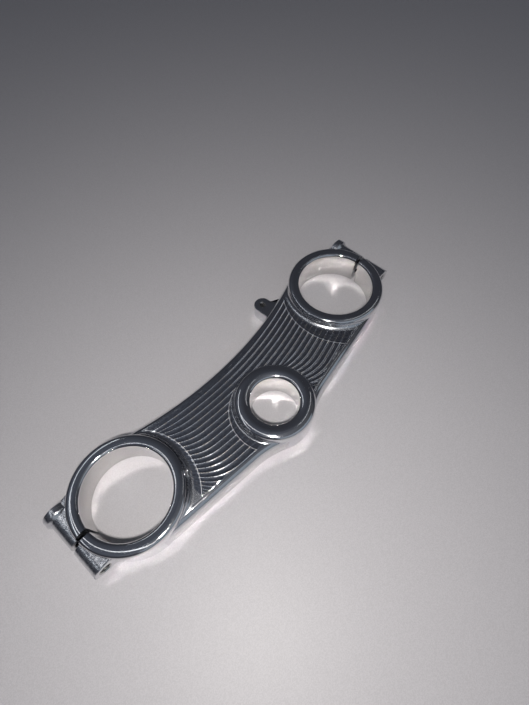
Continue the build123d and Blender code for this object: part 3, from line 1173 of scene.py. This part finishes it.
@dataclass
class PinchBoss(Piece):
    """Round bar with a web to the fork ring, split by the slit, tapped behind and collared in front."""

    side: Side
    axis_x: float
    axis_z: float
    tap_r: float
    clear_r: float
    bar_r: float = 7.0
    rear: float = 20.0
    front: float = 26.0
    web_front: float = 25.0
    web_stop: float = 1.2
    web_columns: int = 9
    bar_columns: int = 33
    hidden_columns: int = 8
    blend_rear: float = 4.0
    blend_front: float = 14.0
    blend_root: float = 6.0
    blend_columns: int = 13
    edge_rows: int = 6
    tuck: float = 0.03
    edge: float = 0.5
    support: float = 0.3
    collar_r: float = 9.0
    collar_length: float = 4.6
    collar_edge: float = 0.8
    collar_columns: int = 72
    collar_overlap: float = 1.0
    flare: float = 2.6
    flare_sink: float = 0.05
    flare_rows: int = 12
    thread_depth: float = 0.55
    thread_pitch: float = 1.25
    mouth: float = 0.7

    def loop(self, along: float, inset: float) -> Array:
        """Section across the axis: flat top, half round, flat bottom, and a hidden inner side.

        Args:
            along: Distance from the fork axis along Y.
            inset: How far the outline is drawn in.

        Returns:
            Points of shape (count, 3), in order round the section.
        """
        plan = self.plan
        middle = plan.fork_bore_r + plan.fork_wall / 2
        inner = plan.fork_x + math.sqrt(middle**2 - along**2)
        radius = self.bar_r - inset
        flat = np.linspace(inner, self.axis_x - self.web_stop, self.web_columns)
        top = stacked(flat, self.axis_z + radius)
        half = arc_points((self.axis_x, self.axis_z), radius, 90, -90, self.bar_columns)
        bottom = stacked(flat[::-1], self.axis_z - radius)
        upright = self.axis_z + radius * np.linspace(-1.0, 1.0, self.hidden_columns)[1:-1]
        outline = np.concatenate([top, half, bottom, stacked(inner, upright)])
        return stacked(outline[:, 0], plan.fork_y + along, outline[:, 1])

    def around(self, angle: Array, along: Measure, radius: Measure) -> Array:
        """Points at an angle, a distance along and a radius about the boss axis."""
        x, z = spun((self.axis_x, self.axis_z), radius, angle)
        return stacked(x, self.plan.fork_y + along, z)

    def face(self, loop: Array, hole_r: float) -> Array:
        """Flat face ruled from a section's outline to the hole, along rays from the axis."""
        angle = np.arctan2(loop[:, 2] - self.axis_z, loop[:, 0] - self.axis_x)
        x, z = spun((self.axis_x, self.axis_z), hole_r, angle)
        return ruled(loop, stacked(x, loop[:, 1], z))

    def add_half(self, shell: Shell, stations: list[Span], slit_r: float, end_r: float) -> None:
        """Adds bar and web from the slit outwards, with a face at each end.

        Args:
            shell: Shell to add to.
            stations: Distance along Y and inset of each section, the slit's first.
            slit_r: Hole radius at the slit.
            end_r: Hole radius at the outer end.
        """
        forwards = stations[-1][0] > 0
        loops = np.stack([self.loop(along, inset) for along, inset in stations])
        shell.grid(loops, Skin.SATIN, wrap=True, turn=not forwards)
        shell.grid(self.face(loops[0], slit_r), Skin.MILLED, wrap=True, turn=forwards)
        shell.grid(self.face(loops[-1], end_r), Skin.POLISHED, wrap=True, turn=not forwards)

    def add_hole(self, shell: Shell, profile: list[Span]) -> None:
        """Adds a plain wall through points of distance along and radius."""
        along, radius = np.array(profile).T[:, :, None]
        shell.grid(self.around(full_turn(HOLE_COLUMNS), along, radius), Skin.BORED, wrap=True)

    def add_blend(self, shell: Shell, face: float, radius: float) -> None:
        """Adds the hollow corner that carries a boss face, at a distance along Y, into the ring wall."""
        plan = self.plan
        way = math.copysign(1.0, face)
        rise = face + way * radius
        across = math.sqrt((plan.fork_ring_r + radius) ** 2 - rise**2)
        fork = np.array([plan.fork_x, plan.fork_y])
        end = math.degrees(math.atan2(-rise, -across))
        arc = arc_points((fork[0] + across, fork[1] + rise), radius, -90.0 * way, end, self.blend_columns)
        inward = fork - arc
        inward /= np.linalg.norm(inward, axis=1, keepdims=True)
        low, high = self.axis_z - self.bar_r + self.tuck, self.axis_z + self.bar_r - self.tuck
        turn = np.linspace(0.0, QUARTER, self.edge_rows)
        inset = np.concatenate([[self.blend_root, 0.0], self.edge * (1 - np.cos(turn)), [self.blend_root]])
        z = np.concatenate([[low, low], high - self.edge * (1 - np.sin(turn)), [high]])
        points = arc[None, :] + inward[None, :] * inset[:, None, None]
        shell.grid(stacked(points[..., 0], points[..., 1], z[:, None]), Skin.POLISHED, turn=way > 0)

    def collar_profile(self) -> Array:
        """Collar as distance along and radius: an eased flare from the bar, the rim, face and hole mouth."""
        back = self.front - self.collar_length
        along = np.linspace(back - self.flare, back, self.flare_rows)
        start_r = self.bar_r - self.flare_sink
        grown = start_r + (self.collar_r - start_r) * smoothstep(back - self.flare, back, along)
        rim = [
            [self.front - self.collar_edge - self.support, self.collar_r],
            [self.front - self.collar_edge, self.collar_r],
            [self.front, self.collar_r - self.collar_edge],
            [self.front, self.clear_r + self.edge],
            [self.front - self.edge, self.clear_r],
            [self.web_front - self.collar_overlap, self.clear_r],
        ]
        return np.concatenate([stacked(along, grown), rim])

    def shell(self) -> Shell:
        """Rear half with its tapped hole, front half with its clear hole, and the collar."""
        shell = Shell(f"pinch_boss_{self.side.name.lower()}", self.side)
        gap = self.plan.slit / 2
        mouth_r, throat = self.tap_r + self.mouth, self.mouth - self.rear
        shoulder = self.edge - self.rear
        rear = [(-gap, 0.0), (-self.rear / 2, 0.0), (shoulder - self.support, 0.0), (shoulder, 0.0)]
        self.add_half(shell, [*rear, (-self.rear, self.edge)], self.tap_r, mouth_r)
        self.add_hole(shell, [(-self.rear, mouth_r), (throat, self.tap_r)])
        thread = threaded_wall(self.tap_r, self.thread_depth, self.thread_pitch, throat, -gap)
        shell.grid(self.around(*thread), Skin.BORED, wrap=True)
        front = [(gap, 0.0), (self.front / 2, 0.0), (self.web_front, 0.0)]
        self.add_half(shell, front, self.clear_r, self.clear_r)
        self.add_hole(shell, [(gap, self.clear_r), (self.web_front, self.clear_r)])
        self.add_blend(shell, -self.rear, self.blend_rear)
        self.add_blend(shell, self.front, self.blend_front)
        along, radius = self.collar_profile().T[:, :, None]
        collar = self.around(full_turn(self.collar_columns), along, radius)
        shell.grid(collar, Skin.SATIN, wrap=True, turn=True)
        return shell


@dataclass
class FrontLug(Piece):
    """Small drilled lug on the front edge, with a round end and a flare on its right side."""

    x: float
    y: float
    hole_r: float
    radius: float = 6.3
    height: float = 11.0
    flare_r: float = 6.0
    root: float = 2.0
    seam: float = 1.0
    edge: float = 0.6
    support: float = 0.3
    edge_rows: int = 7
    side_columns: int = 14
    end_columns: int = 41
    flare_columns: int = 21
    thread_depth: float = 0.3
    thread_pitch: float = 0.8
    mouth: float = 0.4

    def outline(self) -> Array:
        """Closed outline in plan: left side, round end, right side, flare, and a root inside the plate."""
        plan = self.plan
        flare_x = self.x + self.radius + self.flare_r
        reach = plan.front_r - self.flare_r
        flare_y = plan.front_centre_y - math.sqrt(reach**2 - flare_x**2)
        swing = math.degrees(math.atan2(flare_y - plan.front_centre_y, flare_x))
        root = plan.front_edge_y + self.root
        left_y = np.linspace(root, self.y, self.side_columns)[:-1]
        left = stacked(self.x - self.radius, left_y)
        end = arc_points((self.x, self.y), self.radius, 180, 0, self.end_columns)
        flare = arc_points((flare_x, flare_y), self.flare_r, 180, 360 + swing, self.flare_columns)
        root_x = np.linspace(flare[-1, 0], left[0, 0], self.side_columns)[:-1]
        back = stacked(root_x, root)
        return np.concatenate([left, end, flare, back])

    def around(self, angle: Array, z: Measure, radius: Measure) -> Array:
        """Points at an angle, a height and a radius about the hole's axis."""
        return stacked(*spun((self.x, self.y), radius, angle), z)

    def shell(self) -> Shell:
        """Upright side with a rounded top edge, ruled top and bottom faces, and the tapped hole."""
        outline = self.outline()
        step = np.roll(outline, -1, axis=0) - np.roll(outline, 1, axis=0)
        normal = stacked(-step[:, 1], step[:, 0])
        normal /= np.linalg.norm(normal, axis=1, keepdims=True)
        inset, rise = rounded_wall(0.0, self.height, self.edge, self.support, self.edge_rows)
        wall = outline - normal * inset[:, None, None]
        side = stacked(wall[..., 0], wall[..., 1], rise[:, None])
        run = np.concatenate([[0.0], np.cumsum(np.linalg.norm(np.diff(outline, axis=0), axis=1))])
        middle = run[np.argmax(outline[:, 1])]
        angle = QUARTER - (run - middle) / (run[-1] + self.seam) * math.tau
        throat_z = self.height - self.mouth
        mouth = self.around(angle, self.height, self.hole_r + self.mouth)
        throat = self.around(angle, throat_z, self.hole_r)
        foot = self.around(angle, 0.0, self.hole_r)
        thread = threaded_wall(self.hole_r, self.thread_depth, self.thread_pitch, throat_z, 0.0)
        shell = Shell("front_lug")
        shell.grid(side, Skin.POLISHED, wrap=True, turn=True)
        shell.grid(ruled(side[-1], mouth), Skin.POLISHED, wrap=True, turn=True)
        shell.grid(ruled(side[0], foot), Skin.MILLED, wrap=True)
        shell.grid(np.stack([mouth, throat]), Skin.BORED, wrap=True, turn=True)
        shell.grid(self.around(*thread), Skin.BORED, wrap=True)
        return shell


@dataclass(frozen=True)
class TableFinish:
    """Pale grey table with a fine speckle."""

    pale: Colour = (0.572, 0.556, 0.580, 1.0)
    deep: Colour = (0.50, 0.486, 0.508, 1.0)
    roughness: float = 0.5
    speckle_scale: float = 1600.0
    speckle_detail: float = 3.0
    speckle_span: Span = (0.3, 0.7)
    relief: float = 0.15
    relief_mm: float = 0.05

    def material(self) -> bpy.types.Material:
        """Builds the material."""
        recipe = SurfaceRecipe("pale_table")
        speckle = recipe.noise(self.speckle_scale, self.speckle_detail).ramp(*self.speckle_span)
        return recipe.finish({
            "Base Color": recipe.blend(speckle, self.pale, self.deep),
            "Roughness": self.roughness,
            "Normal": recipe.bump(speckle, self.relief, self.relief_mm),
        })


@dataclass(frozen=True)
class Table:
    """Wide round table top just under the clamp, in metres."""

    radius: float = 9.0
    inner: float = 0.02
    drop: float = 0.0002
    rows: int = 40
    columns: int = 144

    def build(self) -> bpy.types.Object:
        """Level grid of angle by radius, its rings wider apart by a constant factor outwards.

        Returns:
            The staged floor.
        """
        radius = np.geomspace(self.inner, self.radius, self.rows)[:, None]
        points = stacked(*spun((0.0, 0.0), radius, full_turn(self.columns)), -self.drop)
        shell = Shell("table")
        shell.grid(points / MM, Skin.POLISHED, wrap=True, turn=True)
        shell.cap(points[0] / MM, Skin.POLISHED)
        mesh = shell.mesh()
        mesh.materials.append(TableFinish().material())
        table = placed("table", mesh)
        return table


@dataclass(frozen=True)
class Softbox:
    """Rectangular lamp that faces a point, in metres and watts."""

    name: str
    place: Triple
    aim: Triple
    size: Span
    power: float
    colour: Triple

    def build(self) -> bpy.types.Object:
        """Makes the lamp."""
        lamp = bpy.data.lights.new(self.name, "AREA")
        lamp.shape = "RECTANGLE"
        lamp.size, lamp.size_y = self.size
        lamp.energy = self.power
        lamp.color = self.colour
        holder = placed(self.name, lamp)
        holder.location = self.place
        holder.rotation_euler = facing(self.place, self.aim).to_euler()
        return holder


@dataclass(frozen=True)
class Viewpoint:
    """Camera at the photograph's place, in metres, with its small roll in degrees."""

    eye: Triple = (-0.08342, -0.06744, 0.27810)
    aim: Triple = (0.03065, 0.03618, 0.0)
    roll: float = 0.853
    lens: float = 22.067
    sensor: float = 36.0
    nearest: float = 0.01

    def build(self) -> bpy.types.Object:
        """Makes the camera and sets it as the scene's own."""
        data = bpy.data.cameras.new("viewpoint")
        data.lens = self.lens
        data.sensor_fit = "AUTO"
        data.sensor_width = self.sensor
        data.clip_start = self.nearest
        camera = placed("viewpoint", data)
        roll = Matrix.Rotation(math.radians(-self.roll), 3, "Z")
        turn = facing(self.eye, self.aim).to_matrix() @ roll
        camera.matrix_world = Matrix.Translation(self.eye) @ turn.to_4x4()
        bpy.context.scene.camera = camera
        return camera


@dataclass(frozen=True)
class Room:
    """Dim room above the table, a little lighter and bluer overhead and towards the left."""

    dark: Colour = (0.036, 0.038, 0.046, 1.0)
    light: Colour = (0.086, 0.095, 0.118, 1.0)
    side_span: Span = (0.55, -0.35)
    rise_span: Span = (0.30, 0.85)

    def build(self) -> bpy.types.World:
        """Makes the world, its colour eased along the X and Z of the direction looked in."""
        world = bpy.data.worlds.new("dim_room")
        world.use_nodes = True
        recipe = Recipe(world.node_tree)
        direction = recipe.node("ShaderNodeTexCoord", {}, {}, "Generated")
        side = recipe.axis(direction, "X").ramp(*self.side_span)
        share = side * recipe.axis(direction, "Z").ramp(*self.rise_span)
        colour = recipe.blend(share, self.dark, self.light)
        recipe.put(world.node_tree.nodes["Background"], "Color", colour)
        bpy.context.scene.world = world
        return world


@dataclass(frozen=True)
class Studio:
    """Table, seven soft lamps and the dim room above."""

    lamps: tuple[Softbox, ...] = (
        Softbox("near_box", (-0.132, -0.097, 0.36), (0.02, 0.03, 0.0), (0.022, 0.022), 1.25,
                (1.0, 0.965, 0.92)),
        Softbox("rear_fill", (0.0, -1.3, 1.4), (0.0, 0.2, 0.0), (4.0, 2.8), 1.0,
                (1.0, 0.97, 0.92)),
        Softbox("rear_glow", (0.0, -1.75, 0.95), (0.0, 0.0, 0.0), (3.0, 1.9), 4.6,
                (0.78, 0.89, 1.0)),
        Softbox("side_strip", (-0.35, 0.05, 1.0), (-0.35, 0.05, 0.0), (0.04, 1.1), 0.25,
                (0.97, 0.98, 1.0)),
        Softbox("right_strip", (0.64, -0.10, 1.0), (0.64, -0.10, 0.0), (0.76, 0.03), 0.08,
                (0.97, 0.98, 1.0)),
        Softbox("ceiling_panel", (0.05, -0.27, 1.1), (0.05, -0.2, 0.0), (1.1, 0.75), 0.07,
                (0.85, 0.92, 1.0)),
        Softbox("front_strip", (-0.45, 0.60, 1.0), (-0.1, 0.0, 0.0), (1.3, 0.05), 0.34,
                (0.92, 0.96, 1.0)),
    )
    gloss_blur: float = 0.15
    glint_limit: float = 0.0

    def build(self) -> None:
        """Sets the room light, the view transform, the limits on glints, the table and the lamps."""
        scene = bpy.context.scene
        Room().build()
        scene.view_settings.view_transform = "Standard"
        scene.cycles.blur_glossy = self.gloss_blur
        scene.cycles.sample_clamp_indirect = self.glint_limit
        Table().build()
        for lamp in self.lamps:
            lamp.build()


def clamp_pieces(plan: ClampPlan, mounts: dict[str, dict[str, Any]]) -> list[Piece]:
    """Sub-assemblies of the clamp, placed by the frame's mounts.

    Args:
        plan: Plan of the clamp.
        mounts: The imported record's mounts by name.

    Returns:
        The pieces in the order in which they are built.
    """
    fork = (plan.fork_x, plan.fork_y)
    edge = plan.rear
    front = math.degrees(math.atan2(plan.front_centre_y - plan.fork_y, -plan.fork_x))
    rear = math.degrees(math.atan2(*(edge.fork - np.array(fork))[::-1])) + 360.0
    stem = math.degrees(math.atan2(edge.touch[1], edge.touch[0]))
    screw, tap, hole = mounts["pinch_screw_right"], mounts["pinch_thread_right"], mounts["lug_hole"]
    axis_x, axis_z = screw["pos_m"][0] / MM, screw["pos_m"][2] / MM
    tap_r, clear_r = tap["dims"]["r_mm"], screw["dims"]["r_mm"]
    pieces: list[Piece] = [BridgePlate(plan)]
    pieces += [ScallopedFloor(plan, bay) for bay in Side]
    pieces.append(ClampRing(
        plan, "stem_ring", (0.0, 0.0), plan.stem_bore_r, plan.stem_wall, plan.stem_cove_r,
        stem, 180.0 - stem, lean=plan.stem_lean,
    ))
    for side in Side:
        pieces.append(ClampRing(
            plan, f"fork_ring_{side.name.lower()}", fork, plan.fork_bore_r, plan.fork_wall,
            plan.fork_cove_r, front, rear, slit=plan.slit, side=side,
        ))
        pieces.append(PinchBoss(plan, side, axis_x, axis_z, tap_r, clear_r))
    pieces.append(FrontLug(plan, hole["pos_m"][0] / MM, hole["pos_m"][1] / MM, hole["dims"]["r_mm"]))
    return pieces


def main() -> None:
    """Builds and dresses the clamp, then the table, lamps and camera."""
    logging.basicConfig(level=logging.INFO, format="%(name)s: %(message)s")
    mounts = {mount["name"]: mount for mount in frame["record"]["mounts"]}
    plan = ClampPlan.from_frame(mounts)
    finishes = billet_finishes(plan)
    for item in clamp_pieces(plan, mounts):
        piece = item.dress(finishes)
        triangles = sum(len(face.vertices) - 2 for face in piece.data.polygons)
        LOG.info("%s: %d triangles", piece.name, triangles)
    Studio().build()
    Viewpoint().build()


if __name__ == "__main__":
    main()
